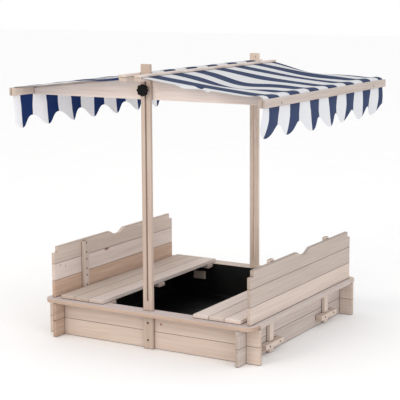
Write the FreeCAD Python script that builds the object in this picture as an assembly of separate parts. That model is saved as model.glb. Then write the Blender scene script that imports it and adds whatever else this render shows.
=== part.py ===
"""Covered play sandbox: a square box of notched planks, two benches whose backrests lift out
to become the lid, and a striped cloth roof that slides on two slotted posts.

Frame: millimetres, +Z up, +X to the right bench, +Y to the back. The origin is on the ground,
in the middle of the box. Every board is the same planed section unless it is named otherwise.
"""
import FreeCAD
import Part
import math
import os

V = FreeCAD.Vector

# ---- driving dimensions ------------------------------------------------------------------
pit_x = 900.0            # clear inside width of the pit, between the left and right walls
pit_y = 900.0            # clear inside length of the pit, between the front and back walls
board_t = 16.0           # thickness of every planed board
board_w = 75.0           # width of the wall, rim, seat and backrest planks
run_past = 64.0          # how far a wall plank runs past the wall that it crosses
planks_per_wall = 2
rim_round = 50.0         # outer corners of the rim

planks_per_panel = 3     # planks in a seat, and in a backrest
lid_rest = 38.0          # how far a seat or backrest plank rests on the front and back rims
seat_lap = 1.0           # how far each seat is set out from the middle
cleat_w = 45.0           # width of a cleat under a seat
cleat_reach = 9.0        # how far a cleat sticks out past the seat's inner edge
cleat_end_gap = 5.5      # between an end cleat and the front or back wall
cleat_middle_y = -25.0   # middle of the centre cleat

leg_w = 35.0             # width of a backrest leg
leg_y = 270.0            # middle of the legs, in front of and behind the centre
leg_foot_z = 4.0         # gap under a leg's foot
leg_stagger = 8.5        # right legs stand this much proud of the panel, left ones are short of it
step_h = 27.0            # corner steps in a top plank, which clear a post when the panel lies flat
step_clear = 4.0         # gap between such a step and the post
notch_top = 128.0        # hand notch in a top plank
notch_bottom = 42.0
notch_depth = 21.0
notch_round = 9.0

keeper_len = 160.0       # wooden keeper round a leg's foot
keeper_h = 22.0
keeper_z = 28.0          # height of a keeper's lower edge
keeper_screw_pitch = 91.0

post_w = 46.0
post_h = 1210.0
slot_w = 9.0
slot_low = 207.0         # lower end of the post's slot
slot_high = 1140.0       # upper end
post_screw_z = (38.0, 113.0)

liner_t = 1.2            # ground sheet
liner_short = 4.0        # the sheet's sides stop this far below the rim
liner_tuck = 1.0         # its front and back stop this far below the rim's top
clamp_w = 62.0           # small blocks that hold the ground sheet to the walls
clamp_h = 38.0
clamp_z = 84.0
clamp_x = 292.0

canopy_x = 1242.0        # over the outer strips of the eaves
canopy_y = 1200.0        # length of the ridge bars and eave rails
gable_z = 1062.0         # straight lower edge of a gable board
gable_mid_h = 84.0
gable_end_h = 28.0
ridge_w = 28.0
ridge_bar_h = 16.0
ridge_strip_h = 10.0
rail_t = 16.0
rail_strip_t = 12.0
rail_h = 34.0
rail_z = 1064.0          # underside of the eave rails
cloth_t = 1.0
cloth_y = 1180.0         # width of the cloth along the ridge
scallop_pitch = 173.0
scallop_y = -12.0        # middle of one scallop
valance_tip = 127.0      # drop of a scallop's tip below the rail
valance_valley = 77.0    # drop of the notch between two scallops

bolt_d = 8.0
bolt_z = 1104.0
bolt_head_d = 20.0
bolt_head_h = 5.0
bolt_neck = 5.0
washer_d = 24.0
washer_t = 1.6
knob_d = 50.0
knob_lobes = 8
knob_notch_r = 5.0       # round notch between two lobes
knob_hub_d = 22.0
knob_hub_h = 10.0
knob_head_h = 18.0
insert_d = 12.0

# ---- clearances --------------------------------------------------------------------------
lap_gap = 0.3            # round a half-lap
seam = 0.3               # between boards that lie end to end
slide_gap = 0.4          # between pieces that slide on each other
slot_gap = 0.8           # round a leg or a post in its opening
bore_gap = 0.25          # bolt in a gable board
knob_gap = 0.05          # bolt in a knob's insert
ease = 1.5               # planed-off edge of a board

# ---- values that follow ------------------------------------------------------------------
half_x = pit_x / 2 + board_t          # outer face of the side walls
half_y = pit_y / 2 + board_t          # outer face of the front and back walls
wall_h = planks_per_wall * board_w
rim_top = wall_h + board_t
liner_h = wall_h - liner_short
lid_plank_y = pit_y + 2 * lid_rest    # length of the seat and backrest planks
seat_gap = pit_x - 2 * planks_per_panel * board_w + 2 * seat_lap
cleat_end_y = pit_y / 2 - cleat_end_gap - cleat_w / 2
rim_x = pit_x / 2 + board_w           # outer edge of the rim
rim_y = pit_y / 2 + board_w
post_out_y = half_y + board_t         # outer face of a post
leg_in_x = half_x + slide_gap         # inner face of a backrest leg
back_in_x = leg_in_x + board_t        # inner face of the backrest planks
back_z = rim_top + slide_gap          # lower edge of a backrest
back_h = planks_per_panel * board_w
gable_out_y = half_y - slide_gap      # outer face of a gable board
bar_in_x = post_w / 2 + slide_gap + 0.2
bar_out_x = bar_in_x + ridge_w
bar_z = gable_z + gable_mid_h
rail_in_x = canopy_x / 2 - rail_strip_t - cloth_t - rail_t
valance_x = rail_in_x + rail_t        # inner face of the hanging cloth
strip_in_x = valance_x + cloth_t
rail_top = rail_z + rail_h
cloth_ridge_z = bar_z + ridge_bar_h


# ---- makers ------------------------------------------------------------------------------
def block(x0, x1, y0, y1, z0, z1):
    """A sharp-edged box between two corners, given low and high on each axis."""
    return Part.makeBox(x1 - x0, y1 - y0, z1 - z0, V(x0, y0, z0))


def board(x0, x1, y0, y1, z0, z1, r=ease):
    """A planed board: a box with all its edges eased."""
    box = block(x0, x1, y0, y1, z0, z1)
    return box.makeFillet(r, box.Edges)


def rod(radius, start, direction, length):
    return Part.makeCylinder(radius, length, start, direction)


def outline(points):
    """A closed face through points, in the order given."""
    return Part.Face(Part.makePolygon(points + [points[0]]))


def turned(shape):
    """The same piece on the other side, turned half a turn about the vertical centre line."""
    copy = shape.copy()
    copy.rotate(V(0, 0, 0), V(0, 0, 1), 180)
    return copy


def flipped_y(shape):
    return shape.mirror(V(0, 0, 0), V(0, 1, 0))


def flipped_x(shape):
    return shape.mirror(V(0, 0, 0), V(1, 0, 0))


def wood_screw(point, direction, length, head_r=4.0, shank_r=2.0, head_h=2.6, proud=0.4):
    """A countersunk wood screw. point is on the board's face, direction points into the wood."""
    top = rod(head_r, point - direction * proud, direction, proud)
    cone = Part.makeCone(head_r, shank_r, head_h, point, direction)
    shank = rod(shank_r, point + direction * head_h, direction, length - head_h)
    return top.fuse(cone).fuse(shank).removeSplitter()


def save(name, shape):
    shape.exportStep("parts/" + name + ".step")
    print(name, len(shape.Solids), round(shape.Volume / 1000.0, 1), "cm3")


# ---- box ---------------------------------------------------------------------------------
def front_wall_plank(level):
    """A front plank, notched from below where the side planks cross it."""
    z0 = level * board_w
    plank = board(-half_x - run_past, half_x + run_past, -half_y, -pit_y / 2, z0, z0 + board_w)
    for side in (-1, 1):
        x = side * (pit_x + board_t) / 2
        reach = board_t / 2 + lap_gap
        plank = plank.cut(block(x - reach, x + reach, -half_y - 1, -pit_y / 2 + 1,
                                z0 - 1, z0 + board_w / 2))
    return plank


def right_wall_plank(level):
    """A side plank, notched from above where the front and back planks cross it."""
    z0 = level * board_w
    plank = board(pit_x / 2, half_x, -half_y - run_past, half_y + run_past, z0, z0 + board_w)
    for side in (-1, 1):
        y = side * (pit_y + board_t) / 2
        reach = board_t / 2 + lap_gap
        plank = plank.cut(block(pit_x / 2 - 1, half_x + 1, y - reach, y + reach,
                                z0 + board_w / 2, z0 + board_w + 1))
    return plank


def front_rim_board():
    """The rim's front board, with rounded outer corners and an opening for the post."""
    box = block(-rim_x, rim_x, -rim_y, -pit_y / 2, wall_h, rim_top)
    corners = [e for e in box.Edges
               if abs(e.Vertexes[0].Z - e.Vertexes[1].Z) > 1 and e.Vertexes[0].Y < -rim_y + 1]
    box = box.makeFillet(rim_round, corners)
    flat = [e for e in box.Edges if abs(e.BoundBox.ZLength) < 0.01]
    box = box.makeFillet(ease, flat)
    return box.cut(block(-post_w / 2 - slot_gap, post_w / 2 + slot_gap,
                         -post_out_y - slot_gap, -half_y + seam, wall_h - 1, rim_top + 1))


def right_rim_board():
    """The rim's side board, between the other two, with openings for the backrest legs."""
    rim = board(pit_x / 2, rim_x, -pit_y / 2 + seam, pit_y / 2 - seam, wall_h, rim_top)
    for y in (-leg_y, leg_y):
        rim = rim.cut(block(leg_in_x - slot_gap, back_in_x + slot_gap, y - leg_w / 2 - slot_gap,
                            y + leg_w / 2 + slot_gap, wall_h - 1, rim_top + 1))
    return rim


def ground_liner():
    """An open tray of black sheet: the pit's floor, turned up against the four walls. In front
    and behind it also covers the inner edge of the rim."""
    gap = seam
    x, y = pit_x / 2 - gap, pit_y / 2 - gap
    outer = block(-x, x, -y, y, 0, liner_h)
    inner = block(-x + liner_t, x - liner_t, -y + liner_t, y - liner_t, liner_t, liner_h + 1)
    tray = outer.cut(inner)
    flap = block(-x, x, -y, -y + liner_t, 0, rim_top - liner_tuck)
    return tray.fuse([flap, turned(flap)]).removeSplitter()


def liner_clamps():
    """Four small blocks under the seats that hold the sheet against the front and back walls."""
    blocks = []
    face = pit_y / 2 - seam - liner_t
    for sx in (-1, 1):
        for sy in (-1, 1):
            y0, y1 = sorted((sy * face, sy * (face - board_t)))
            blocks.append(board(sx * clamp_x - clamp_w / 2, sx * clamp_x + clamp_w / 2,
                                y0, y1, clamp_z, clamp_z + clamp_h))
    return Part.makeCompound(blocks)


# ---- seats -------------------------------------------------------------------------------
def right_seat_plank(index):
    x0 = seat_gap / 2 + index * board_w
    return board(x0, x0 + board_w, -lid_plank_y / 2, lid_plank_y / 2,
                 rim_top, rim_top + board_t, 2.5)


def right_seat_cleats():
    """Three cleats that tie the seat's planks together, inside the pit."""
    x0 = seat_gap / 2 - cleat_reach
    x1 = pit_x / 2 - seam
    cleats = [board(x0, x1, y - cleat_w / 2, y + cleat_w / 2, rim_top - board_t, rim_top)
              for y in (-cleat_end_y, cleat_middle_y, cleat_end_y)]
    return Part.makeCompound(cleats)


# ---- backrests ---------------------------------------------------------------------------
def right_backrest_plank(index):
    """One plank of the right backrest; the top one has corner steps and a hand notch."""
    z0 = back_z + index * board_w
    x0, x1 = back_in_x, back_in_x + board_t
    plank = board(x0, x1, -lid_plank_y / 2, lid_plank_y / 2, z0, z0 + board_w)
    if index < planks_per_panel - 1:
        return plank
    top = z0 + board_w
    step_y = half_y - step_clear
    for side in (-1, 1):
        y0, y1 = sorted((side * step_y, side * (lid_plank_y / 2 + 1)))
        plank = plank.cut(block(x0 - 1, x1 + 1, y0, y1, top - step_h, top + 1))
    a, b, low = notch_top / 2, notch_bottom / 2, top - notch_depth
    points = [V(x0 - 1, -a, top + 1), V(x0 - 1, -a, top), V(x0 - 1, -b, low),
              V(x0 - 1, b, low), V(x0 - 1, a, top), V(x0 - 1, a, top + 1)]
    cutter = outline(points).extrude(V(board_t + 2, 0, 0))
    soft = [e for e in cutter.Edges
            if abs(e.BoundBox.XLength - board_t - 2) < 0.01
            and abs(e.Vertexes[0].Z - low) < 0.01]
    return plank.cut(cutter.makeFillet(notch_round, soft))


def backrest_leg(y, stagger):
    """A leg behind the right backrest, from the keeper at the ground to the top plank."""
    return board(leg_in_x, back_in_x, y - leg_w / 2, y + leg_w / 2,
                 leg_foot_z, back_z + back_h + stagger)


def backrest_screws():
    """Two screws through each leg into each plank."""
    spots = []
    for y in (-leg_y, leg_y):
        for index in range(planks_per_panel):
            middle = back_z + (index + 0.5) * board_w
            for dz in (-22.0, 22.0):
                spots.append(wood_screw(V(leg_in_x, y, middle + dz), V(1, 0, 0), 26.0, proud=0.2))
    return Part.makeCompound(spots)


def keepers_and_screws():
    """Wooden keepers that hold the legs' feet to the right wall: the blocks, then their screws."""
    blocks, screws = [], []
    for y in (-leg_y, leg_y):
        hole = leg_w / 2 + slot_gap
        z1 = keeper_z + keeper_h
        cover_x = back_in_x + slide_gap
        keeper = board(half_x, cover_x + board_t, y - keeper_len / 2, y + keeper_len / 2,
                       keeper_z, z1, 2.5)
        keeper = keeper.cut(block(half_x - 1, cover_x, y - hole, y + hole,
                                  keeper_z - 1, z1 + 1))
        for side in (-1, 1):
            spot = V(cover_x + board_t, y + side * keeper_screw_pitch / 2, keeper_z + keeper_h / 2)
            screws.append(wood_screw(spot, V(-1, 0, 0), 42.0, head_r=4.5, proud=0.4))
        blocks.append(keeper)
    return Part.makeCompound(blocks), Part.makeCompound(screws)


# ---- posts -------------------------------------------------------------------------------
def front_post():
    """The slotted post on the front wall, standing on the ground."""
    post = board(-post_w / 2, post_w / 2, -post_out_y, -half_y, 0, post_h, 2.0)
    middle = block(-slot_w / 2, slot_w / 2, -post_out_y - 1, -half_y + 1,
                   slot_low + slot_w / 2, slot_high - slot_w / 2)
    ends = [rod(slot_w / 2, V(0, -post_out_y - 1, z), V(0, 1, 0), board_t + 2)
            for z in (slot_low + slot_w / 2, slot_high - slot_w / 2)]
    return post.cut(middle.fuse(ends))


def post_screws():
    """Two screws through the foot of each post into the wall planks."""
    front = [wood_screw(V(0, -post_out_y, z), V(0, 1, 0), 28.0, head_r=4.5) for z in post_screw_z]
    return Part.makeCompound(front + [turned(s) for s in front])


# ---- canopy frame ------------------------------------------------------------------------
def front_gable():
    """The board under the front of the roof, bored for the clamp bolt."""
    half = rail_in_x - seam
    y = -gable_out_y
    low, mid, end = gable_z, gable_z + gable_mid_h, gable_z + gable_end_h
    points = [V(-half, y, low), V(half, y, low), V(half, y, end), V(bar_out_x, y, mid),
              V(-bar_out_x, y, mid), V(-half, y, end)]
    gable = outline(points).extrude(V(0, board_t, 0))
    gable = gable.makeFillet(ease, gable.Edges)
    return gable.cut(rod(bolt_d / 2 + bore_gap, V(0, y - 1, bolt_z), V(0, 1, 0), board_t + 2))


def right_ridge_bar():
    return board(bar_in_x, bar_out_x, -canopy_y / 2, canopy_y / 2, bar_z, bar_z + ridge_bar_h)


def right_ridge_strip():
    z0 = cloth_ridge_z + cloth_t
    return board(bar_in_x, bar_out_x, -canopy_y / 2, canopy_y / 2, z0, z0 + ridge_strip_h)


def right_rail():
    return board(rail_in_x, valance_x, -canopy_y / 2, canopy_y / 2, rail_z, rail_top, 2.5)


def right_rail_strip():
    return board(strip_in_x, strip_in_x + rail_strip_t, -canopy_y / 2, canopy_y / 2,
                 rail_z, rail_top, 2.5)


def canopy_screws():
    """Screws that hold the canopy to the gable boards: down through the ridge strips and bars,
    and in through the eave strips and rails."""
    top = cloth_ridge_z + cloth_t + ridge_strip_h
    y = gable_out_y - board_t / 2
    x = (bar_in_x + bar_out_x) / 2
    eave = strip_in_x + rail_strip_t
    spots = []
    for sx in (-1, 1):
        for sy in (-1, 1):
            spots.append(wood_screw(V(sx * x, sy * y, top), V(0, 0, -1), 60.0,
                                    head_r=3.5, shank_r=1.8, proud=0.2))
            spots.append(wood_screw(V(sx * eave, sy * y, rail_z + rail_h / 2 - 5.0),
                                    V(-sx, 0, 0), 60.0, head_r=3.5, shank_r=1.8, proud=0.2))
    return Part.makeCompound(spots)


# ---- cloth -------------------------------------------------------------------------------
def roof_fabric():
    """The striped cloth as a plain folded sheet: two slopes, clamped flat between the ridge
    bars and strips, with a band between the bars that stops short of the posts."""
    eave, top = valance_x + cloth_t, rail_top + cloth_t
    upper = [V(eave, 0, top), V(bar_out_x, 0, cloth_ridge_z + cloth_t),
             V(-bar_out_x, 0, cloth_ridge_z + cloth_t), V(-eave, 0, top)]
    lower = [V(-eave, 0, rail_top), V(-bar_out_x, 0, cloth_ridge_z),
             V(bar_out_x, 0, cloth_ridge_z), V(eave, 0, rail_top)]
    sheet = outline(upper + lower).extrude(V(0, cloth_y, 0))
    sheet.translate(V(0, -cloth_y / 2, 0))
    for side in (-1, 1):
        y0, y1 = sorted((side * (half_y - 6.0), side * (cloth_y / 2 + 1)))
        sheet = sheet.cut(block(-bar_in_x, bar_in_x, y0, y1, cloth_ridge_z - 1,
                                cloth_ridge_z + cloth_t + 1))
    return sheet


def right_valance():
    """The cloth's scalloped hem: clamped in the eave and hanging below it."""
    half = cloth_y / 2
    middle = (valance_tip + valance_valley) / 2
    swing = (valance_tip - valance_valley) / 2
    steps = round(12 * cloth_y / scallop_pitch)
    points = [V(valance_x, half, rail_top), V(valance_x, -half, rail_top)]
    for i in range(steps + 1):
        y = -half + cloth_y * i / steps
        drop = middle + swing * math.cos(2 * math.pi * (y - scallop_y) / scallop_pitch)
        points.append(V(valance_x, y, rail_z - drop))
    return outline(points).extrude(V(cloth_t, 0, 0))


# ---- clamp bolts and knobs ---------------------------------------------------------------
def front_bolt():
    """A carriage bolt: domed head inside the gable, shank out through the post's slot."""
    inner = -gable_out_y + board_t
    out = V(0, -1, 0)
    dome = Part.makeSphere(bolt_head_d / 2, V(0, 0, 0), V(0, 1, 0), 0, 90, 360)
    squash = FreeCAD.Matrix()
    squash.scale(V(1, bolt_head_h / (bolt_head_d / 2), 1))
    dome = dome.transformGeometry(squash)
    dome.translate(V(0, inner, bolt_z))
    length = inner + post_out_y + washer_t + knob_hub_h + 12.0
    shank = rod(bolt_d / 2, V(0, inner + 0.5, bolt_z), out, length + 0.5)
    return dome.fuse(shank).removeSplitter()


def front_washer():
    face = -post_out_y - slide_gap
    ring = rod(washer_d / 2, V(0, face, bolt_z), V(0, -1, 0), washer_t)
    return ring.cut(rod(bolt_d / 2 + bore_gap, V(0, face + 1, bolt_z), V(0, -1, 0), washer_t + 2))


def knob_base_y():
    return -post_out_y - slide_gap - washer_t - slide_gap


def front_knob():
    """An eight-lobed star knob, hollow for its threaded insert, closed at the front."""
    base = knob_base_y()
    out = V(0, -1, 0)
    hub = Part.makeCone(knob_hub_d / 2, knob_hub_d / 2 + 3.0, knob_hub_h, V(0, base, bolt_z), out)
    start = base - knob_hub_h
    head = rod(knob_d / 2, V(0, start, bolt_z), out, knob_head_h)
    rims = [e for e in head.Edges if abs(e.BoundBox.YLength) < 0.01]
    head = head.makeFillet(3.5, rims)
    for i in range(knob_lobes):
        a = 2 * math.pi * (i + 0.5) / knob_lobes
        spot = V(math.cos(a) * knob_d / 2, start + 1, bolt_z + math.sin(a) * knob_d / 2)
        head = head.cut(rod(knob_notch_r, spot, out, knob_head_h + 2))
    knob = hub.fuse(head).removeSplitter()
    depth = knob_hub_h + 14.0
    return knob.cut(rod(insert_d / 2, V(0, base + 1, bolt_z), out, depth + 1))


def front_knob_insert():
    base = knob_base_y()
    out = V(0, -1, 0)
    depth = knob_hub_h + 14.0
    insert = rod(insert_d / 2, V(0, base, bolt_z), out, depth)
    return insert.cut(rod(bolt_d / 2 + knob_gap, V(0, base + 1, bolt_z), out, depth + 2))


# ---- write the pieces --------------------------------------------------------------------
os.makedirs("parts", exist_ok=True)

for level, word in enumerate(("lower", "upper")):
    front = front_wall_plank(level)
    right = right_wall_plank(level)
    save("front_wall_" + word, front.cut(post_screws()))
    save("back_wall_" + word, turned(front).cut(post_screws()))
    wall_cut = keepers_and_screws()[1]
    right = right.cut(wall_cut)
    save("right_wall_" + word, right)
    save("left_wall_" + word, flipped_x(right))

save("front_rim_board", front_rim_board())
save("back_rim_board", turned(front_rim_board()))
save("right_rim_board", right_rim_board())
save("left_rim_board", flipped_x(right_rim_board()))
save("ground_liner", ground_liner())
save("liner_clamp_blocks", liner_clamps())

for index, word in enumerate(("inner", "middle", "outer")):
    plank = right_seat_plank(index)
    save("right_seat_" + word + "_plank", plank)
    save("left_seat_" + word + "_plank", flipped_x(plank))
save("right_seat_cleats", right_seat_cleats())
save("left_seat_cleats", flipped_x(right_seat_cleats()))

keepers, keeper_screws = keepers_and_screws()
keepers = Part.makeCompound([k.cut(keeper_screws) for k in keepers.Solids])
save("right_leg_keepers", keepers)
save("left_leg_keepers", flipped_x(keepers))
save("box_screws", Part.makeCompound([post_screws(), keeper_screws, flipped_x(keeper_screws)]))

screws = backrest_screws()
for index, word in enumerate(("lower", "middle", "upper")):
    plank = right_backrest_plank(index).cut(screws)
    save("right_backrest_" + word + "_plank", plank)
    save("left_backrest_" + word + "_plank", flipped_x(plank))
for y, word in ((-leg_y, "front"), (leg_y, "back")):
    save("right_backrest_" + word + "_leg", backrest_leg(y, leg_stagger).cut(screws))
    save("left_backrest_" + word + "_leg", flipped_x(backrest_leg(y, -leg_stagger).cut(screws)))
save("right_backrest_screws", screws)
save("left_backrest_screws", flipped_x(screws))

post = front_post().cut(post_screws())
save("front_post", post)
save("back_post", turned(post))

gable = front_gable().cut(canopy_screws())
save("front_gable_board", gable)
save("back_gable_board", turned(gable))
for word, make in (("ridge_bar", right_ridge_bar), ("ridge_strip", right_ridge_strip),
                   ("eave_rail", right_rail), ("eave_strip", right_rail_strip)):
    piece = make().cut(canopy_screws())
    save("right_" + word, piece)
    save("left_" + word, flipped_x(piece))
save("canopy_screws", canopy_screws())
save("roof_fabric", roof_fabric().cut(canopy_screws()))
save("right_valance", right_valance().cut(canopy_screws()))
save("left_valance", flipped_x(right_valance().cut(canopy_screws())))

save("front_clamp_bolt", front_bolt())
save("back_clamp_bolt", turned(front_bolt()))
save("clamp_washers", Part.makeCompound([front_washer(), turned(front_washer())]))
save("front_knob", front_knob())
save("back_knob", turned(front_knob()))
save("front_knob_insert", front_knob_insert())
save("back_knob_insert", turned(front_knob_insert()))
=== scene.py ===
# %% [markdown]
# # A covered play sandbox
# The object is a square box of fir planks with two benches, two lift-out backrests and a striped
# cloth roof on two slotted posts. Its boards, screws and knobs arrive as a finished frame, so this
# file gives them their surfaces, and makes the soft pieces that a CAD solid can't show well: the
# roof cloth with its scalloped hems, and the black ground sheet.

import math

import bpy
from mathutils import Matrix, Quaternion, Vector, noise


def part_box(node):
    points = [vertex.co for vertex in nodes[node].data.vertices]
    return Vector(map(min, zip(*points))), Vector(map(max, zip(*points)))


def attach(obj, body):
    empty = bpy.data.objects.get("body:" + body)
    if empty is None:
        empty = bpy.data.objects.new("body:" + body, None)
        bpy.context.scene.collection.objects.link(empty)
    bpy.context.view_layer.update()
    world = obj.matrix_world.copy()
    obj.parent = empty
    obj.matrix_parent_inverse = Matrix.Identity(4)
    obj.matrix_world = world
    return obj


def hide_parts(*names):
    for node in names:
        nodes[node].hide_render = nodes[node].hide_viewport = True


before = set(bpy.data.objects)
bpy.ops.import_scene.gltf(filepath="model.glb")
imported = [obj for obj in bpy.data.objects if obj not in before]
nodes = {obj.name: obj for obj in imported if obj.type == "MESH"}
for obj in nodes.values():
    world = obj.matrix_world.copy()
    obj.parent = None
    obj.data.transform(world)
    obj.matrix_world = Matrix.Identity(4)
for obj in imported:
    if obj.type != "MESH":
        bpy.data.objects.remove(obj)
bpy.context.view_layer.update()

# %% [markdown]
# ## Camera
# A long lens from a standing child's height, off to the right and a little above the roof, shows
# the front, the right side and the roof at once. The lens is long, so that the posts stay almost
# parallel. The camera is made first, because every later choice is judged through it.

# %% Camera
YAW, PITCH, ROLL = (math.radians(a) for a in (-29.815, 7.915, -0.162))
STAND, LENS, SENSOR = (2.8666, -4.8646, 1.5372), 113.96, 36.0
SHIFT, SIGHT = (-0.05, -0.10), 100.0
camera = bpy.data.objects.new("camera", bpy.data.cameras.new("camera"))
bpy.context.collection.objects.link(camera)
forward = Vector((math.sin(YAW) * math.cos(PITCH), math.cos(YAW) * math.cos(PITCH), -math.sin(PITCH)))
camera.rotation_mode = "QUATERNION"
camera.rotation_quaternion = forward.to_track_quat("-Z", "Y") @ Quaternion((0, 0, 1), ROLL)
camera.location = STAND
camera.data.lens, camera.data.sensor_width = LENS, SENSOR
camera.data.shift_x, camera.data.shift_y = SHIFT
camera.data.clip_end = SIGHT
bpy.context.scene.camera = camera
print("camera:", tuple(camera.location), "lens", camera.data.lens)

# %% [markdown]
# ## Light
# Raw wood shows its grain in soft light, so the studio is a pale room: one large panel high in
# front and to the left, a weaker one on the right, and an even white surround that fills the
# shadows. The panels are wide, so the shadows under the seats and the roof have soft edges.

# %% Light
def linear(code):
    """An sRGB hex colour as the linear values that the shaders take."""
    parts = [int(code[i:i + 2], 16) / 255 for i in (0, 2, 4)]
    return [*(p / 12.92 if p <= 0.04045 else ((p + 0.055) / 1.055) ** 2.4 for p in parts), 1.0]


def panel(name, place, aim, size, power, colour):
    light = bpy.data.lights.new(name, "AREA")
    light.shape, light.size, light.energy, light.color = "SQUARE", size, power, linear(colour)[:3]
    obj = bpy.data.objects.new(name, light)
    bpy.context.collection.objects.link(obj)
    obj.location = place
    obj.rotation_euler = (Vector(aim) - Vector(place)).to_track_quat("-Z", "Y").to_euler()


panel("key_panel", (-1.5, -5.2, 3.4), (0, 0, 0.5), 2.2, 70, "fff3e8")
panel("fill_panel", (4.8, -2.6, 1.5), (0, 0, 0.6), 2.4, 60, "f6f7ff")

world = bpy.data.worlds.new("pale studio")
bpy.context.scene.world = world
world.use_nodes = True
surround = world.node_tree.nodes["Background"]
surround.inputs["Color"].default_value = linear("ffffff")
surround.inputs["Strength"].default_value = 1.0
bpy.context.scene.view_settings.view_transform = "Standard"

# %% [markdown]
# ## Node helper
# Every finish below is a small network of shader nodes. One helper adds a node, sets its options
# and its unlinked sockets, and plugs in the sockets that take another node's output.

# %% Node helper
def add(tree, kind, sockets=None, **options):
    """Adds a shader node. A socket value is a number, a colour, or another node's output."""
    node = tree.nodes.new(kind)
    for name, value in options.items():
        setattr(node, name, value)
    for name, value in (sockets or {}).items():
        if isinstance(value, bpy.types.NodeSocket):
            tree.links.new(value, node.inputs[name])
        else:
            node.inputs[name].default_value = value
    return node


def new_material(name):
    material = bpy.data.materials.new(name)
    material.use_nodes = True
    shader = material.node_tree.nodes["Principled BSDF"]
    return material, material.node_tree, shader


def paint(material, *names):
    """Puts one material on the whole of each named node."""
    for name in names:
        mesh = nodes[name].data
        mesh.materials.clear()
        mesh.materials.append(material)


# %% [markdown]
# ## Raw fir
# The boards are planed fir with no oil or paint. Fir is pale, with darker latewood lines that run
# along the board, and it gets a pinkish grey cast once it has stood outside. One stretched noise
# would look like smeared paint, so three lie over each other: a broad tone, streaks about 12 mm
# apart, and fine lines of 2.5 mm. Real rings lie 2 to 4 mm apart, which hardly shows from a few
# metres, so the streaks are drawn coarser.

# %% Grain
# each one says how many cells there are in a metre across the board, and how drawn out they are
BROAD, STREAK, FINE = (22.0, 14.0), (85.0, 34.0), (400.0, 60.0)
BEND, BEND_PUSH = (9.0, 4.0), 1.6


def stretched(tree, place, along, per_metre, ratio):
    """Coordinates in which a noise cell is 1 / per_metre across and ratio times as long."""
    scale = [per_metre] * 3
    scale[along] = per_metre / ratio
    return add(tree, "ShaderNodeVectorMath", {0: place, 1: scale},
               operation="MULTIPLY").outputs["Vector"]


def grain(tree, place, along, pale, dark):
    """The colour of clear fir, and the noises of its streaks and of its fine lines."""
    # the tree's slow bends push the lines sideways, which gives the pointed figure on wide faces
    bend = add(tree, "ShaderNodeTexNoise", {"Vector": stretched(tree, place, along, *BEND),
                                            "Scale": 1.0, "Detail": 2.0})
    push = add(tree, "ShaderNodeVectorMath", {0: bend.outputs["Color"], "Scale": BEND_PUSH},
               operation="SCALE")
    pushed = add(tree, "ShaderNodeVectorMath", {0: stretched(tree, place, along, *STREAK),
                                                1: push.outputs["Vector"]}, operation="ADD")
    streak = add(tree, "ShaderNodeTexNoise", {"Vector": pushed.outputs["Vector"], "Scale": 1.0,
                                              "Detail": 3.0, "Roughness": 0.6})
    broad = add(tree, "ShaderNodeTexNoise", {"Vector": stretched(tree, place, along, *BROAD),
                                             "Scale": 1.0, "Detail": 2.0})
    fine = add(tree, "ShaderNodeTexNoise", {"Vector": stretched(tree, place, along, *FINE),
                                            "Scale": 1.0, "Detail": 3.0})
    share = add(tree, "ShaderNodeMapRange", {"Value": streak.outputs["Fac"], "From Min": 0.26,
                                             "From Max": 0.70})
    tone = add(tree, "ShaderNodeMix", {"Factor": share.outputs["Result"], "A": linear(dark),
                                       "B": linear(pale)}, data_type="RGBA")
    cast = add(tree, "ShaderNodeMix", {"Factor": broad.outputs["Fac"], "A": linear("f0ebea"),
                                       "B": linear("fffaf2")}, data_type="RGBA")
    clear = add(tree, "ShaderNodeMix", {"Factor": 0.9, "A": tone.outputs["Result"],
                                        "B": cast.outputs["Result"]}, data_type="RGBA",
                blend_type="MULTIPLY")
    return clear.outputs["Result"], streak.outputs["Fac"], fine.outputs["Fac"]


print("grain: streaks", round(1000 / STREAK[0], 1), "mm apart, lines", 1000 / FINE[0], "mm apart")

# %% [markdown]
# ### Knots
# A knot is where a branch grew out. Fir has a few small brown ones, drawn out a little along the
# board. The cells of a Voronoi pattern place them, in about a quarter of the cells, so that no two
# boards are alike. A board that is known by its knots gets those as well, each at its own place.

# %% Knots
KNOT_CELL = (9.0, 2.6)
KNOT_CORE, KNOT_RIM = 0.035, 0.085
EMPTY_CELLS = 0.74


def knots(tree, place, shifted, along, colour, own_knots):
    """The colour with its knots. An own knot is (place, radius, colour)."""
    cells = add(tree, "ShaderNodeTexVoronoi", {"Vector": stretched(tree, shifted, along, *KNOT_CELL),
                                               "Scale": 1.0, "Randomness": 1.0})
    draw = add(tree, "ShaderNodeSeparateColor", {"Color": cells.outputs["Color"]})
    chosen = add(tree, "ShaderNodeMath", {0: draw.outputs["Red"], 1: EMPTY_CELLS},
                 operation="GREATER_THAN")
    round_spot = add(tree, "ShaderNodeMapRange",
                     {"Value": cells.outputs["Distance"], "From Min": KNOT_CORE,
                      "From Max": KNOT_RIM, "To Min": 1.0, "To Max": 0.0})
    here = add(tree, "ShaderNodeMath", {0: round_spot.outputs["Result"], 1: chosen.outputs["Value"]},
               operation="MULTIPLY")
    knotted = add(tree, "ShaderNodeMix", {"Factor": here.outputs["Value"], "A": colour,
                                          "B": linear("96705a")}, data_type="RGBA")
    for spot, radius, brown in own_knots:
        away = add(tree, "ShaderNodeVectorMath", {0: place, 1: spot}, operation="DISTANCE")
        here = add(tree, "ShaderNodeMapRange",
                   {"Value": away.outputs["Value"], "From Min": radius * 0.6,
                    "From Max": radius * 1.4, "To Min": 1.0, "To Max": 0.0})
        knotted = add(tree, "ShaderNodeMix", {"Factor": here.outputs["Result"],
                                              "A": knotted.outputs["Result"],
                                              "B": linear(brown)}, data_type="RGBA")
    return knotted.outputs["Result"]


print("knots:", [round(2000 * share / KNOT_CELL[0]) for share in (KNOT_CORE, KNOT_RIM)], "mm across")

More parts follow.
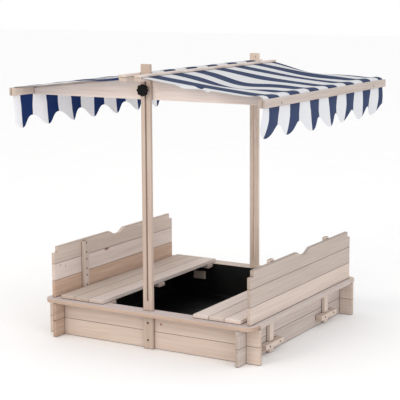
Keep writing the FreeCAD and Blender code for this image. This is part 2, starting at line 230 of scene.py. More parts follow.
# %% [markdown]
# ### Faces, painted light and painted shade
# A face that looks up is painted lighter, which is painted light from above, and the sawn end drinks
# in dirt and water, so it is darker. Where boards meet the wood is painted darker, which is painted
# shade. Painting it by hand would have to be done again for every board, so two rules find it:
# ambient occlusion finds the narrow places between pieces, and the distance from a plank's long edge
# gives the dark line of painted shade, about 2 mm wide, along the planed arris beside a joint.

# %% Faces
# how far an upward face is painted towards its top colour: painted light from above
PAINTED_TOP_LIGHT = 0.75


def faces(tree, axes, along, colour, top):
    """The colour with its upper faces painted lighter, as painted light from above, if it has a top
    colour, and its darker sawn ends.
    """
    # painted light: a face that looks up is mixed towards the lighter top colour
    if top:
        up = add(tree, "ShaderNodeMapRange", {"Value": axes.outputs["Z"], "From Min": 0.6,
                                              "From Max": 0.95, "To Max": PAINTED_TOP_LIGHT})
        colour = add(tree, "ShaderNodeMix", {"Factor": up.outputs["Result"], "A": colour,
                                             "B": linear(top)}, data_type="RGBA").outputs["Result"]
    lengthways = add(tree, "ShaderNodeMath", {0: axes.outputs[along]}, operation="ABSOLUTE")
    end = add(tree, "ShaderNodeMapRange", {"Value": lengthways.outputs["Value"], "From Min": 0.6,
                                           "From Max": 0.95})
    return add(tree, "ShaderNodeMix", {"Factor": end.outputs["Result"], "A": colour,
                                       "B": linear("ece8e4")}, data_type="RGBA",
               blend_type="MULTIPLY").outputs["Result"]


# %% Painted shade in the joints
CORNER_REACH = 0.005
ARRIS, ARRIS_FADE, ARRIS_TONE = 0.0010, 0.0026, 0.60
EDGE_FACE = 0.85


def painted_corner_shade(tree):
    """How much painted shade darkens the wood close to another piece, as a factor."""
    # painted shade: ambient occlusion darkens the wood in the narrow places between pieces
    near = add(tree, "ShaderNodeAmbientOcclusion", {"Distance": CORNER_REACH}, samples=8)
    occlusion_shade = add(tree, "ShaderNodeMapRange", {"Value": near.outputs["AO"], "From Min": 0.28,
                                             "From Max": 0.92, "To Min": 0.08, "To Max": 1.0})
    return occlusion_shade.outputs["Result"]


def painted_arris_shade(tree, where, axes, across, width):
    """The same kind of factor, painted shade on the line beside a plank's two long edges, on its faces
    only.
    """
    shares = add(tree, "ShaderNodeSeparateXYZ", {"Vector": where.outputs["Generated"]})
    from_edge = add(tree, "ShaderNodeMath", {0: shares.outputs[across], 1: 0.5},
                    operation="PINGPONG")
    # painted shade: the face darkens within about 2.6 mm of each long edge, where the groove between
    # planks is shaded
    line = add(tree, "ShaderNodeMapRange",
               {"Value": from_edge.outputs["Value"], "From Min": ARRIS / width,
                "From Max": ARRIS_FADE / width, "To Min": ARRIS_TONE, "To Max": 1.0})
    sideways = add(tree, "ShaderNodeMath", {0: axes.outputs[across]}, operation="ABSOLUTE")
    on_face = add(tree, "ShaderNodeMath", {0: sideways.outputs["Value"], 1: EDGE_FACE},
                  operation="LESS_THAN")
    return add(tree, "ShaderNodeMix", {"Factor": on_face.outputs["Value"], "A": 1.0,
                                       "B": line.outputs["Result"]}).outputs["Result"]


# the reach of the painted shade in the corners and along the arrises
print("painted shade: up to", 1000 * CORNER_REACH, "mm from a corner,", 1000 * ARRIS_FADE, "mm from an arris")

# %% [markdown]
# ### A board's finish
# Boards run along three directions, so the same fir is made for each of them, with the stretch
# along X, Y or Z. Each board is shifted in the pattern and is a little lighter or darker than its
# neighbour. Planed, unsealed wood scatters light, so it is rough, with hardly any gloss, and its
# grain lines stand up a little.

# %% Raw fir
BOARD_SHIFT = (7.3, 5.1, 3.7)
LINE_TONES, BOARD_TONES = (0.94, 1.03), (0.95, 1.04)


def fir(name, along, pale, dark, top=None, own_knots=(), joint=None):
    """Planed fir with its grain along axis 0, 1 or 2.

    top is the colour that upper faces are painted towards, as painted light from above. joint is
    (axis, width) for a plank that meets others along its two long edges, which get a painted shade
    line.
    """
    material, tree, shader = new_material(name)
    where = add(tree, "ShaderNodeTexCoord")
    place = where.outputs["Object"]
    each = add(tree, "ShaderNodeObjectInfo").outputs["Random"]
    shift = add(tree, "ShaderNodeVectorMath", {0: BOARD_SHIFT, "Scale": each}, operation="SCALE")
    shifted = add(tree, "ShaderNodeVectorMath", {0: place, 1: shift.outputs["Vector"]},
                  operation="ADD").outputs["Vector"]
    axes = add(tree, "ShaderNodeSeparateXYZ", {"Vector": where.outputs["Normal"]})

    colour, streak, fine = grain(tree, shifted, along, pale, dark)
    colour = knots(tree, place, shifted, along, colour, own_knots)
    colour = faces(tree, axes, along, colour, top)

    lines = add(tree, "ShaderNodeMapRange",
                {"Value": fine, "From Min": 0.35, "From Max": 0.65,
                 "To Min": LINE_TONES[0], "To Max": LINE_TONES[1]}).outputs["Result"]
    board = add(tree, "ShaderNodeMapRange", {"Value": each, "To Min": BOARD_TONES[0],
                                             "To Max": BOARD_TONES[1]}).outputs["Result"]
    # the board's own tone, then painted shade in the corners and, for a plank, along its arrises
    factors = [board, painted_corner_shade(tree)]
    if joint:
        factors.append(painted_arris_shade(tree, where, axes, *joint))
    level = lines
    for factor in factors:
        level = add(tree, "ShaderNodeMath", {0: level, 1: factor},
                    operation="MULTIPLY").outputs["Value"]
    final = add(tree, "ShaderNodeVectorMath", {0: colour, "Scale": level}, operation="SCALE")
    tree.links.new(final.outputs["Vector"], shader.inputs["Base Color"])

    rough = add(tree, "ShaderNodeMapRange", {"Value": streak, "To Min": 0.62, "To Max": 0.80})
    tree.links.new(rough.outputs["Result"], shader.inputs["Roughness"])
    shader.inputs["Specular IOR Level"].default_value = 0.28
    bump = add(tree, "ShaderNodeBump", {"Height": fine, "Strength": 0.22, "Distance": 0.0012})
    tree.links.new(bump.outputs["Normal"], shader.inputs["Normal"])
    return material


# %% [markdown]
# ### Board tones
# Boards are sawn from different trees, so each one has a tone of its own. Most are pale. A few
# came from nearer the heart and are browner, the walls and posts are a little warmer, and the
# eaves are greyer. The right walls are grey and the right backrest darker grey, which is painted
# shade on the side away from the key panel, and the gable boards are very pale, which is painted
# light under the roof's shade. The pair of colours is the early wood and the late wood of that
# tone. The upward faces of the tan and grey boards, the rims among them, are painted lighter,
# which is painted light from above, and a few boards are known by a knot.

# %% Board tones
TONES = {"pale": ("d9cdc5", "c9bbb0"), "grey": ("c9c0bb", "b5aaa3"),
         "weathered": ("bdb2ab", "b1a69e"), "very_pale": ("ebe1dc", "dacdc6"),
         "bright": ("f5ece8", "e6dad3"), "warm": ("d6c8be", "c9b8ab"),
         "cream": ("e8dacd", "d6c4b6"), "dull": ("c9baae", "b8a699"),
         "tan": ("c9b3a3", "b39c8b"), "brown": ("d9c0ae", "c5a894")}
# the upward faces of these tones are painted towards these lighter colours: painted light from above
PAINTED_LIGHT_TOPS = {"tan": "d6cac8", "grey": "d3cac7"}
wall_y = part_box("front_wall_upper")[0].y
plank_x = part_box("left_backrest_middle_plank")[1].x
post_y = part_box("back_post")[0].y
OWN_KNOTS = {"front_wall_upper": [((0.056, wall_y, 0.110), 0.005, "94604f")],
             "left_backrest_middle_plank": [((plank_x, -0.446, 0.304), 0.003, "86736a"),
                                            ((plank_x, -0.410, 0.294), 0.003, "86736a")],
             "back_post": [((0.009, post_y, 1.192), 0.003, "8a6a58")]}
# the right walls' grey and the right backrest's darker grey are painted shade, and the gable boards'
# very pale tone is painted light under the roof's shade
TONE_OF = {"left_backrest_lower_plank": "brown", "left_backrest_middle_plank": "very_pale",
           "left_seat_inner_plank": "very_pale", "right_seat_inner_plank": "bright",
           "right_seat_middle_plank": "very_pale", "right_seat_outer_plank": "bright",
           "front_gable_board": "very_pale", "back_gable_board": "very_pale",
           "right_backrest_upper_plank": "weathered", "right_backrest_middle_plank": "weathered",
           "right_wall_upper": "grey", "right_wall_lower": "grey", "right_eave_rail": "grey",
           "right_eave_strip": "grey", "left_eave_strip": "grey", "right_ridge_strip": "very_pale",
           "left_ridge_strip": "very_pale", "right_rim_board": "grey", "left_wall_upper": "tan",
           "left_wall_lower": "tan", "front_wall_upper": "warm", "front_wall_lower": "warm",
           "front_post": "dull", "back_post": "cream", "front_rim_board": "tan"}


def axes_by_size(node):
    """A board's size along X, Y and Z, and the three axes from its shortest side to its longest."""
    low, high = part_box(node)
    size = high - low
    return size, sorted(range(3), key=lambda i: size[i])


def joint_of(node):
    """For a plank of a wall, seat or backrest, the axis across its joints, and its width."""
    if not node.endswith(("_plank", "_wall_upper", "_wall_lower")):
        return None
    size, axes = axes_by_size(node)
    return axes[1], round(size[axes[1]], 3)


boards = [n for n in nodes if n.endswith(("_plank", "_board", "_post", "_leg", "_bar", "_strip",
                                          "_rail", "_blocks", "_keepers", "_cleats", "_lower",
                                          "_upper"))]
# a group of cleats is longer than one cleat, so its longest side isn't the way the grain runs
ACROSS = ("right_seat_cleats", "left_seat_cleats")
woods = {}
for name in boards:
    axis = 0 if name in ACROSS else axes_by_size(name)[1][2]
    tone = TONE_OF.get(name, "pale")
    kind = (axis, tone, joint_of(name), name if name in OWN_KNOTS else "")
    if kind not in woods:
        title = f"{tone} planed fir, grain along {'XYZ'[axis]}"
        woods[kind] = fir(title, axis, *TONES[tone], PAINTED_LIGHT_TOPS.get(tone),
                          OWN_KNOTS.get(name, ()), joint_of(name))
    paint(woods[kind], name)
print("wood:", len(boards), "nodes in", len(woods), "kinds of fir")

# %% [markdown]
# ## Screws, bolts and knobs
# The wood screws are black phosphated steel, dull with a slight oily gloss. The clamp bolts and
# washers are zinc plated: a bright metal under a thin bluish skin that is uneven in gloss. The
# star knobs are moulded black plastic with a fine eroded grain of about 0.3 mm, and each one
# hides a turned brass insert.

# %% Black phosphated steel
phosphate, tree, shader = new_material("black phosphated steel")
grit = add(tree, "ShaderNodeTexNoise", {"Vector": add(tree, "ShaderNodeTexCoord").outputs["Object"],
                                        "Scale": 900.0, "Detail": 2.0})
tint = add(tree, "ShaderNodeMix", {"Factor": grit.outputs["Fac"], "A": linear("1b1a1a"),
                                   "B": linear("3a3634")}, data_type="RGBA")
tree.links.new(tint.outputs["Result"], shader.inputs["Base Color"])
shader.inputs["Metallic"].default_value = 0.8
gloss = add(tree, "ShaderNodeMapRange", {"Value": grit.outputs["Fac"], "To Min": 0.38, "To Max": 0.6})
tree.links.new(gloss.outputs["Result"], shader.inputs["Roughness"])
paint(phosphate, *[n for n in nodes if n.endswith("screws")])

# %% Zinc plated steel
zinc, tree, shader = new_material("zinc plated steel")
cloud = add(tree, "ShaderNodeTexNoise", {"Vector": add(tree, "ShaderNodeTexCoord").outputs["Object"],
                                         "Scale": 220.0, "Detail": 3.0})
tint = add(tree, "ShaderNodeMix", {"Factor": cloud.outputs["Fac"], "A": linear("b9bcc2"),
                                   "B": linear("d6d7d4")}, data_type="RGBA")
tree.links.new(tint.outputs["Result"], shader.inputs["Base Color"])
shader.inputs["Metallic"].default_value = 1.0
gloss = add(tree, "ShaderNodeMapRange", {"Value": cloud.outputs["Fac"], "To Min": 0.22, "To Max": 0.42})
tree.links.new(gloss.outputs["Result"], shader.inputs["Roughness"])
paint(zinc, "front_clamp_bolt", "back_clamp_bolt", "clamp_washers")

# %% Turned brass
brass, tree, shader = new_material("turned brass")
where = add(tree, "ShaderNodeTexCoord").outputs["Object"]
rings = add(tree, "ShaderNodeTexNoise", {"Vector": where, "Scale": 1500.0, "Detail": 1.0})
tint = add(tree, "ShaderNodeMix", {"Factor": rings.outputs["Fac"], "A": linear("b8924a"),
                                   "B": linear("d9b871")}, data_type="RGBA")
tree.links.new(tint.outputs["Result"], shader.inputs["Base Color"])
shader.inputs["Metallic"].default_value = 1.0
shader.inputs["Roughness"].default_value = 0.3
paint(brass, "front_knob_insert", "back_knob_insert")

# %% Moulded black polyamide
knob_black, tree, shader = new_material("moulded black polyamide")
where = add(tree, "ShaderNodeTexCoord").outputs["Object"]
eroded = add(tree, "ShaderNodeTexNoise", {"Vector": where, "Scale": 3300.0, "Detail": 1.0})
wear = add(tree, "ShaderNodeTexNoise", {"Vector": where, "Scale": 60.0, "Detail": 3.0})
tint = add(tree, "ShaderNodeMix", {"Factor": wear.outputs["Fac"], "A": linear("030303"),
                                   "B": linear("090909")}, data_type="RGBA")
tree.links.new(tint.outputs["Result"], shader.inputs["Base Color"])
gloss = add(tree, "ShaderNodeMapRange", {"Value": wear.outputs["Fac"], "To Min": 0.42, "To Max": 0.62})
tree.links.new(gloss.outputs["Result"], shader.inputs["Roughness"])
bump = add(tree, "ShaderNodeBump", {"Height": eroded.outputs["Fac"], "Strength": 0.3,
                                    "Distance": 0.0002})
tree.links.new(bump.outputs["Normal"], shader.inputs["Normal"])
shader.inputs["IOR"].default_value = 1.53
shader.inputs["Specular IOR Level"].default_value = 0.12
paint(knob_black, "front_knob", "back_knob")
print("fittings:", phosphate.name + ",", zinc.name + ",", brass.name + ",", knob_black.name)

# %% [markdown]
# ## Roof cloth
# The roof is one length of striped awning cloth. It starts at one scalloped hem, goes up through
# the clamp between the eave rail and its strip, over the rail, up the slope, through the clamp
# between the ridge bar and its strip, across the gap between the two bars, and down the other
# side. It could be draped by a simulation, but both slopes are held along two straight edges, so
# their shape is known: a shallow sag, a few deeper pockets where the cloth is slack, and a roll
# where it turns down into the eave. So the sheet is made row by row from its path, and each point
# keeps its place in the flat cloth as a UV, which later carries the stripes and the weave.

# %% Roof path
bar_low, bar_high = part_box("right_ridge_bar")
strip_low, strip_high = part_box("right_ridge_strip")
rail_low, rail_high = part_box("right_eave_rail")
hem_low, hem_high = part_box("right_valance")
gable_low, gable_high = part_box("front_gable_board")

RIDGE_X, RIDGE_Z = bar_high.x, (bar_high.z + strip_low.z) / 2
GAP_X = bar_low.x
EAVE_X, EAVE_Z = (hem_low.x + hem_high.x) / 2, rail_high.z
RAIL_Z = rail_low.z
CLOTH_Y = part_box("roof_fabric")[1].y
POST_BACK_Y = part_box("front_post")[1].y
STRIPE = 0.0905
print("cloth path: ridge", round(RIDGE_Z, 3), "m high, eave", round(EAVE_Z, 3), "m high")

# %% [markdown]
# ### Slack
# The cloth is tight over most of each slope, and hangs in a few wide pockets where it was clamped
# with a little too much length. Each pocket is a smooth bell, and two layers of noise that is
# stretched from ridge to eave add the small pulls. Just before the eave the slack stands up in a
# roll, mostly on the right.

# %% Slack
FLAT_SAG = 0.004
# how deep each pocket is, its middle (x, y), and its reach (x, y), in metres
POCKETS = {1: [(0.021, (0.30, -0.26), (0.16, 0.12)), (0.019, (0.23, -0.11), (0.12, 0.08)),
               (0.006, (0.30, 0.05), (0.20, 0.10)), (0.010, (0.32, 0.33), (0.20, 0.09)),
               (0.024, (0.20, 0.60), (0.18, 0.09))],
           -1: [(-0.007, (0.33, -0.50), (0.14, 0.12)), (0.020, (0.28, -0.18), (0.17, 0.13)),
                (0.016, (0.36, 0.20), (0.16, 0.12)), (0.012, (0.22, 0.40), (0.14, 0.06))]}
PULL = 0.0035
ROLL_HIGH = {1: 0.0075, -1: 0.0015}
ROLL_BACK, ROLL_REACH = 0.024, 0.030


def bell(offset, reach):
    return math.exp(-(offset / reach) ** 2)


def sag(side, x, y):
    """How far the slope is below its straight line, at a distance x from the middle."""
    t = (x - RIDGE_X) / (EAVE_X - RIDGE_X)
    held = math.sin(math.pi * min(max(t, 0.0), 1.0))
    deep = FLAT_SAG
    for depth, middle, reach in POCKETS[side]:
        deep += depth * bell(x - middle[0], reach[0]) * bell(y - middle[1], reach[1])
    pull = noise.noise(Vector((x * 2.2 + 3.0 * side, y * 11.0, 4.0)))
    pull += 0.5 * noise.noise(Vector((x * 5.0, y * 23.0, 9.0 * side)))
    return held * (deep + PULL * pull)


def roll(side, x, y):
    """How high the roll of slack stands up just before the eave."""
    swell = 1.0 + 0.35 * noise.noise(Vector((side * 2.0, y * 9.0, 1.5)))
    return ROLL_HIGH[side] * swell * bell(x - (EAVE_X - ROLL_BACK), ROLL_REACH)


# %% [markdown]
# ### Slopes
# A slope goes from the ridge bar to the eave rail, and bends down over the rail. The gable boards
# hold it up where it crosses them. At the front of the right slope the free edge has slipped under.
# That fold could be simulated too, but it is one known crease: past it, the cloth turns over with a
# small radius and lies back beneath itself, and the crease curves out to the edge on both sides.

# %% Slopes
CLOTH_LIFT = 0.0012
EAVE_BEND, EAVE_DIP = 0.010, 0.0045
GABLE_END_HIGH, GABLE_REACH, GABLE_CLEAR = 0.028, 0.022, 0.0015
FOLD_X, FOLD_REACH, FOLD_Y, FOLD_R = 0.300, 0.048, -6 * STRIPE + 0.012, 0.006


def over_gable(x, y, z):
    """The height z, or the top of the gable board where the cloth would lie in it."""
    gable_y = (gable_high.y + gable_low.y) / -2
    if abs(abs(y) - gable_y) >= GABLE_REACH or x >= rail_low.x:
        return z
    end_z = gable_low.z + GABLE_END_HIGH
    top = gable_high.z + (end_z - gable_high.z) * (x - RIDGE_X) / (rail_low.x - RIDGE_X)
    return max(z, top + GABLE_CLEAR)


def slope_point(side, t, y):
    """A point of one slope: t is 0 at the ridge bar and 1 at the eave."""
    x = RIDGE_X + (EAVE_X - RIDGE_X) * t
    z = RIDGE_Z + (EAVE_Z + CLOTH_LIFT - RIDGE_Z) * t - sag(side, x, y) + roll(side, x, y)
    over = max(0.0, (x - (EAVE_X - EAVE_BEND)) / EAVE_BEND)
    z = over_gable(x, y, z - EAVE_DIP * over ** 2)
    if side > 0 and y < FOLD_Y:
        crease = -CLOTH_Y + (FOLD_Y + CLOTH_Y) * bell(x - FOLD_X, FOLD_REACH)
        loose = max(0.0, crease - y)
        bend = min(loose, FOLD_R * math.pi)
        y += 2 * loose - bend - FOLD_R * math.sin(bend / FOLD_R)
        z -= FOLD_R * (1 - math.cos(bend / FOLD_R))
    return Vector((side * x, y, z))


# %% [markdown]
# ### Hems and the ridge gap
# Below the eave rail the cloth hangs free, cut into rounded scallops. Wind and the folds of packing
# leave it leaning in and out, more towards the tips, which is what makes a hem look like cloth and
# not like a saw blade. The left hem hangs a little lower than the right one. At the ridge the slack
# between the two clamped edges stands up in a low hump.

# %% Hems and the ridge gap
# each side's pitch and shift of the scallops, and how much longer its hem is
SCALLOPS = {1: (0.173, -0.012, 0.0), -1: (0.180, -0.004, 0.017)}
TIP, VALLEY = 0.128, 0.078
POINTED = 0.10
# how far each hem leans out at its tips, the middle of that stretch along the eave, and its reach
LEANS = {1: [(-0.030, -0.55, 0.10), (-0.018, -0.36, 0.06), (0.014, -0.08, 0.16),
             (-0.016, 0.19, 0.06), (-0.018, 0.52, 0.12)],
         -1: [(-0.006, -0.55, 0.10), (-0.016, -0.25, 0.12), (-0.010, 0.30, 0.20)]}
RIPPLE, FLUTTER, RIPPLE_FULL = 0.006, 0.004, 0.05
HUMP_HIGH, HUMP_UNEVEN, HUMP_WIDE = 0.0045, 0.0022, 0.96


def drop(side, y):
    """How far the hem hangs below the rail: a row of rounded scallops."""
    pitch, shift, longer = SCALLOPS[side]
    wave = math.cos(2 * math.pi * (y - shift) / pitch)
    crisp = wave * (1.0 - POINTED * abs(wave)) / (1.0 - POINTED)
    return longer + (TIP + VALLEY) / 2 + (TIP - VALLEY) / 2 * crisp


def swing(side, y, depth):
    """How far the hanging hem stands out from the rail."""
    lean = sum(amount * bell(y - middle, reach) for amount, middle, reach in LEANS[side])
    wave = RIPPLE * math.sin(2 * math.pi * y / (2 * STRIPE) + 0.8 * side)
    wave += FLUTTER * noise.noise(Vector((y * 7.0, 2.0 * side, 0.0)))
    return lean * (depth / TIP) ** 2 + wave * min(depth / RIPPLE_FULL, 1.0)


def hem_point(side, depth, y):
    """A point of the hanging hem, depth below the rail."""
    out = swing(side, y, depth)
    return Vector((side * (EAVE_X + out), y, RAIL_Z - depth + abs(out) * 0.12))


def hump_point(t, y):
    """A point of the hump between the two ridge bars: t goes from -1 to 1."""
    uneven = HUMP_UNEVEN * noise.noise(Vector((y * 12.0, 0.0, 7.0)))
    rise = strip_high.z + HUMP_HIGH - RIDGE_Z + uneven
    return Vector((GAP_X * HUMP_WIDE * t, y, RIDGE_Z + rise * (1 - t ** 4) ** 0.5))


print("hems: pitch", SCALLOPS[1][0], "m right,", SCALLOPS[-1][0], "m left")

# %% [markdown]
# ### Roof mesh
# Each row goes from the right hem over the roof to the left hem, and the rows are 5 mm apart. Along
# a row the points are close together where the cloth bends hard, at the clamps, the eave roll and
# the hump. Between the bars there is cloth only between the posts, so those faces are left out
# nearer to the ends.

# %% Roof mesh
ROW_PITCH = 0.005
HEM_STEPS, EDGE_STEPS, EAVE_STEPS, SLOPE_STEPS, HUMP_STEPS = 22, 3, 12, 58, 14
NEAR_EAVE = 0.12
HUMP_END = -POST_BACK_Y - 0.006


def half_row(side, y):
    """One side of a row, from the hem's edge up to the gap between the bars."""
    depth = drop(side, y)
    row = [hem_point(side, depth * (1 - i / HEM_STEPS), y) for i in range(HEM_STEPS + 1)]
    for i in range(1, EDGE_STEPS + 1):
        z = RAIL_Z + (EAVE_Z - 0.003 - RAIL_Z) * i / EDGE_STEPS
        row.append(Vector((side * EAVE_X, y, z)))
    steps = [1 - NEAR_EAVE * i / EAVE_STEPS for i in range(EAVE_STEPS + 1)]
    steps += [(1 - NEAR_EAVE) * (1 - i / SLOPE_STEPS) for i in range(1, SLOPE_STEPS + 1)]
    row += [slope_point(side, t, y) for t in steps]
    for i in range(1, EDGE_STEPS + 1):
        row.append(Vector((side * (RIDGE_X + (GAP_X - RIDGE_X) * i / EDGE_STEPS), y, RIDGE_Z)))
    return row


def cloth_row(y):
    """A whole row, and how far along the flat cloth each of its points is from the middle."""
    right, left = half_row(1, y), half_row(-1, y)
    across = [hump_point(1 - 2 * i / HUMP_STEPS, y) for i in range(1, HUMP_STEPS)]
    row = right + across + left[::-1]
    lengths = [0.0]
    for a, b in zip(row, row[1:]):
        lengths.append(lengths[-1] + (b - a).length)
    return row, [u - lengths[-1] / 2 for u in lengths]


count = int(2 * CLOTH_Y / ROW_PITCH) + 1
points, flat, faces_of_cloth = [], [], []
for r in range(count):
    y = -CLOTH_Y + 2 * CLOTH_Y * r / (count - 1)
    row, lengths = cloth_row(y)
    points += row
    flat += [(u, y) for u in lengths]
width = len(points) // count
half = len(half_row(1, 0.0))
for r in range(count - 1):
    y = -CLOTH_Y + 2 * CLOTH_Y * (r + 0.5) / (count - 1)
    for c in range(width - 1):
        over_gap = half - 1 <= c < half - 1 + HUMP_STEPS
        if over_gap and abs(y) > HUMP_END:
            continue
        a = r * width + c
        faces_of_cloth.append((a, a + width, a + width + 1, a + 1))
print("roof cloth:", count, "rows of", width, "points")

# %% [markdown]
# Both sheets of this object are made the same way: a mesh from points and faces, with each point's
# place in the flat sheet kept as a UV in metres.

# %% Sheet object
def make_sheet(name, uv_name, points, faces, flat):
    mesh = bpy.data.meshes.new(name)
    mesh.from_pydata([tuple(p) for p in points], [], faces)
    layer = mesh.uv_layers.new(name=uv_name)
    for loop in mesh.loops:
        layer.data[loop.index].uv = flat[loop.vertex_index]
    mesh.polygons.foreach_set("use_smooth", [True] * len(mesh.polygons))
    sheet = bpy.data.objects.new(name, mesh)
    bpy.context.collection.objects.link(sheet)
    return sheet, sum(p.area for p in mesh.polygons)


cloth, area = make_sheet("striped_roof_cloth", "flat cloth in metres", points, faces_of_cloth, flat)

# %% [markdown]
# ## Striped awning cloth
# The cloth is woven polyester, solution dyed in navy and white bands of about 90 mm. Woven cloth
# is rough, and its yarn ends give it a trace of sheen at grazing angles. Real threads are about
# 0.5 mm apart, too fine to show, so the weave is drawn every 2 mm and kept faint. The bands come
# from each point's place along the ridge in the flat cloth, so they follow it round every bend. A
# picture of stripes would do too, but it would blur close by. The inside is painted a deeper navy,
# which is painted shade, and a brighter white, which is painted light that shines through it.

# %% Striped awning cloth
THREADS, BAND_WANDER = 0.002, 0.0012
awning, tree, shader = new_material("woven striped polyester awning cloth")
uv = add(tree, "ShaderNodeUVMap", uv_map="flat cloth in metres")
parts = add(tree, "ShaderNodeSeparateXYZ", {"Vector": uv.outputs["UV"]})
wander = add(tree, "ShaderNodeTexNoise", {"Vector": uv.outputs["UV"], "Scale": 90.0, "Detail": 1.0})
edge = add(tree, "ShaderNodeMath", {0: wander.outputs["Fac"], 1: BAND_WANDER,
                                    2: -BAND_WANDER / 2}, operation="MULTIPLY_ADD")
along = add(tree, "ShaderNodeMath", {0: parts.outputs["Y"], 1: edge.outputs["Value"]}, operation="ADD")
# boundaries fall at whole numbers of bands from the middle of the roof
bands = add(tree, "ShaderNodeMath", {0: along.outputs["Value"], 1: 1.0 / (2 * STRIPE)},
            operation="MULTIPLY")
wrapped = add(tree, "ShaderNodeMath", {0: bands.outputs["Value"]}, operation="FRACT")
navy = add(tree, "ShaderNodeMath", {0: wrapped.outputs["Value"], 1: 0.5}, operation="LESS_THAN")
fade = add(tree, "ShaderNodeTexNoise", {"Vector": uv.outputs["UV"], "Scale": 14.0, "Detail": 4.0})
threads_u = add(tree, "ShaderNodeMath", {0: parts.outputs["X"], 1: math.pi / THREADS},
                operation="MULTIPLY")
threads_v = add(tree, "ShaderNodeMath", {0: parts.outputs["Y"], 1: math.pi / THREADS},
                operation="MULTIPLY")
warp = add(tree, "ShaderNodeMath", {0: threads_u.outputs["Value"]}, operation="SINE")
weft = add(tree, "ShaderNodeMath", {0: threads_v.outputs["Value"]}, operation="SINE")
weave = add(tree, "ShaderNodeMath", {0: warp.outputs["Value"], 1: weft.outputs["Value"]},
            operation="MULTIPLY")
behind = add(tree, "ShaderNodeNewGeometry").outputs["Backfacing"]
navy_face = add(tree, "ShaderNodeMix", {"Factor": fade.outputs["Fac"], "A": linear("333e5b"),
                                        "B": linear("3f4a66")}, data_type="RGBA")
# painted shade: the inside of the navy bands is a deeper navy
navy_inside_shaded = add(tree, "ShaderNodeMix", {"Factor": behind, "A": navy_face.outputs["Result"],
                                        "B": linear("203566")}, data_type="RGBA")
white_face = add(tree, "ShaderNodeMix", {"Factor": fade.outputs["Fac"], "A": linear("cdcfd3"),
                                         "B": linear("d7d7d8")}, data_type="RGBA")
# painted light: the inside of the white bands is brighter, as if lit through the cloth
white_inside_lit = add(tree, "ShaderNodeMix", {"Factor": behind, "A": white_face.outputs["Result"],
                                         "B": linear("f4f4f6")}, data_type="RGBA")
bands_mix = add(tree, "ShaderNodeMix", {"Factor": navy.outputs["Value"],
                                        "A": white_inside_lit.outputs["Result"],
                                        "B": navy_inside_shaded.outputs["Result"]}, data_type="RGBA")
thread_tone = add(tree, "ShaderNodeMapRange", {"Value": weave.outputs["Value"], "From Min": -1.0,
                                               "From Max": 1.0, "To Min": 0.96, "To Max": 1.02})
cloth_colour = add(tree, "ShaderNodeVectorMath", {0: bands_mix.outputs["Result"],
                                                  "Scale": thread_tone.outputs["Result"]},
                   operation="SCALE")
tree.links.new(cloth_colour.outputs["Vector"], shader.inputs["Base Color"])
shader.inputs["Roughness"].default_value = 0.88
shader.inputs["Specular IOR Level"].default_value = 0.03
shader.inputs["Sheen Weight"].default_value = 0.02
shader.inputs["Sheen Roughness"].default_value = 0.5
bump = add(tree, "ShaderNodeBump", {"Height": weave.outputs["Value"], "Strength": 0.15,
                                    "Distance": 0.0004})
tree.links.new(bump.outputs["Normal"], shader.inputs["Normal"])
cloth.data.materials.append(awning)
print("cloth: bands of", 1000 * STRIPE, "mm, weave drawn every", 1000 * THREADS, "mm")

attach(cloth, "canopy")
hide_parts("roof_fabric", "left_valance", "right_valance")

# %% [markdown]
# ## Ground sheet
# A thin black sheet keeps the sand apart from the soil. It lies on the ground and is turned up
# the four walls to the rim. It is limp and it was folded when it was packed, so it has soft
# creases on the floor, and the turned-up sides hang in shallow folds. It is made as one grid that
# is bent up at the walls, and pushed in and out by noise that fades to nothing at the walls.

# %% Ground sheet
pit_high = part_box("ground_liner")[1]
wall_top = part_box("left_wall_upper")[1].z
REACH = pit_high.x - 0.0010
SIDE_HIGH, END_HIGH = wall_top - 0.006, pit_high.z - 0.001
STEP, WALL_STEPS = 0.012, 11
FILM_Z, CREASE_HIGH, FOLD_DEEP, FADE = 0.0016, 0.007, 0.006, 0.05


def sheet_line(high):
    """Distances across the sheet, from edge to edge: up one wall, over the floor, up the other."""
    floor = int(REACH / STEP)
    half = [REACH * i / floor for i in range(floor + 1)]
    half += [REACH + high * i / WALL_STEPS for i in range(1, WALL_STEPS + 1)]
    return [-d for d in half[:0:-1]] + half


def bent(d):
    """A signed distance from the middle, as a place along the floor and a height up the wall."""
    size = abs(d)
    return (math.copysign(min(size, REACH), d), max(0.0, size - REACH))


def film_point(u, v):
    """A point of the sheet, from its signed distances from the middle of the flat sheet."""
    x, up_x = bent(u)
    y, up_y = bent(v)
    up = max(up_x, up_y)
    z = FILM_Z + up
    if up == 0:
        spot = Vector((x * 5.0, y * 5.0, 0.0))
        crease = abs(noise.noise(spot)) + 0.5 * abs(noise.noise(spot * 2.3))
        z += CREASE_HIGH * crease * min(1.0, (REACH - max(abs(x), abs(y))) / FADE)
    beside = x if up_y > 0 else y
    fold = FOLD_DEEP * abs(noise.noise(Vector((beside * 9.0, up * 6.0, 3.0))))
    fold *= math.sin(math.pi * min(up / END_HIGH, 1.0)) * min(1.0, (REACH - abs(beside)) / FADE)
    if up_x > 0:
        x -= math.copysign(fold, x)
    if up_y > 0:
        y -= math.copysign(fold, y)
    return (x, y, z)


across, along = sheet_line(SIDE_HIGH), sheet_line(END_HIGH)
flat = [(u, v) for v in along for u in across]
width = len(across)
faces_of_film = []
for r in range(len(along) - 1):
    for c in range(width - 1):
        u, v = (across[c] + across[c + 1]) / 2, (along[r] + along[r + 1]) / 2
        if abs(u) > REACH and abs(v) > REACH:
            continue
        a = r * width + c
        faces_of_film.append((a, a + 1, a + width + 1, a + width))
sheet, sheet_area = make_sheet("black_ground_sheet", "flat sheet in metres",
                               [film_point(u, v) for u, v in flat], faces_of_film, flat)

# %% [markdown]
# The sheet is polyethylene film: black right through, with a low even gloss. Film this thin shows
# fine crumples of a few centimetres that catch the light.

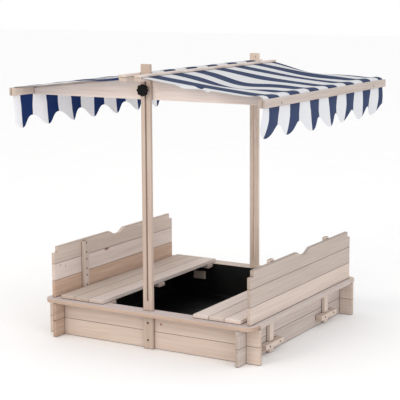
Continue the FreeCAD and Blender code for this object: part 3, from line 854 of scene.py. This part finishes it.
# %% Black polyethylene film
film, tree, shader = new_material("black polyethylene film")
where = add(tree, "ShaderNodeUVMap", uv_map="flat sheet in metres").outputs["UV"]
crumple = add(tree, "ShaderNodeTexNoise", {"Vector": where, "Scale": 35.0, "Detail": 4.0,
                                           "Roughness": 0.6})
dust = add(tree, "ShaderNodeTexNoise", {"Vector": where, "Scale": 6.0, "Detail": 3.0})
tint = add(tree, "ShaderNodeMix", {"Factor": dust.outputs["Fac"], "A": linear("060606"),
                                   "B": linear("111112")}, data_type="RGBA")
tree.links.new(tint.outputs["Result"], shader.inputs["Base Color"])
gloss = add(tree, "ShaderNodeMapRange", {"Value": crumple.outputs["Fac"], "To Min": 0.42,
                                         "To Max": 0.6})
tree.links.new(gloss.outputs["Result"], shader.inputs["Roughness"])
shader.inputs["IOR"].default_value = 1.5
shader.inputs["Specular IOR Level"].default_value = 0.3
bump = add(tree, "ShaderNodeBump", {"Height": crumple.outputs["Fac"], "Strength": 0.35,
                                    "Distance": 0.004})
tree.links.new(bump.outputs["Normal"], shader.inputs["Normal"])
sheet.data.materials.append(film)
print("ground sheet carries", film.name)

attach(sheet, "box")
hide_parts("ground_liner")

# %% [markdown]
# ## Floor
# A plain pale floor gives the box something to stand on, and shows its soft contact shadow. It is
# one large sheet with a faint mottle, so that it doesn't look like empty space.

# %% Floor
FLOOR_HALF, FLOOR_Z = 30.0, -0.001
floor_mesh = bpy.data.meshes.new("studio_floor")
corners = [(sx * FLOOR_HALF, sy * FLOOR_HALF, FLOOR_Z)
           for sx, sy in ((-1, -1), (1, -1), (1, 1), (-1, 1))]
floor_mesh.from_pydata(corners, [], [(0, 1, 2, 3)])
floor = bpy.data.objects.new("studio_floor", floor_mesh)
bpy.context.collection.objects.link(floor)
vinyl, tree, shader = new_material("matt white studio vinyl")
where = add(tree, "ShaderNodeTexCoord").outputs["Object"]
mottle = add(tree, "ShaderNodeTexNoise", {"Vector": where, "Scale": 3.0, "Detail": 2.0})
tint = add(tree, "ShaderNodeMix", {"Factor": mottle.outputs["Fac"], "A": linear("fafafa"),
                                   "B": linear("fdfdfd")}, data_type="RGBA")
tree.links.new(tint.outputs["Result"], shader.inputs["Base Color"])
shader.inputs["Roughness"].default_value = 0.9
shader.inputs["Specular IOR Level"].default_value = 0.1
floor_mesh.materials.append(vinyl)
print("floor:", 2 * FLOOR_HALF, "m wide")
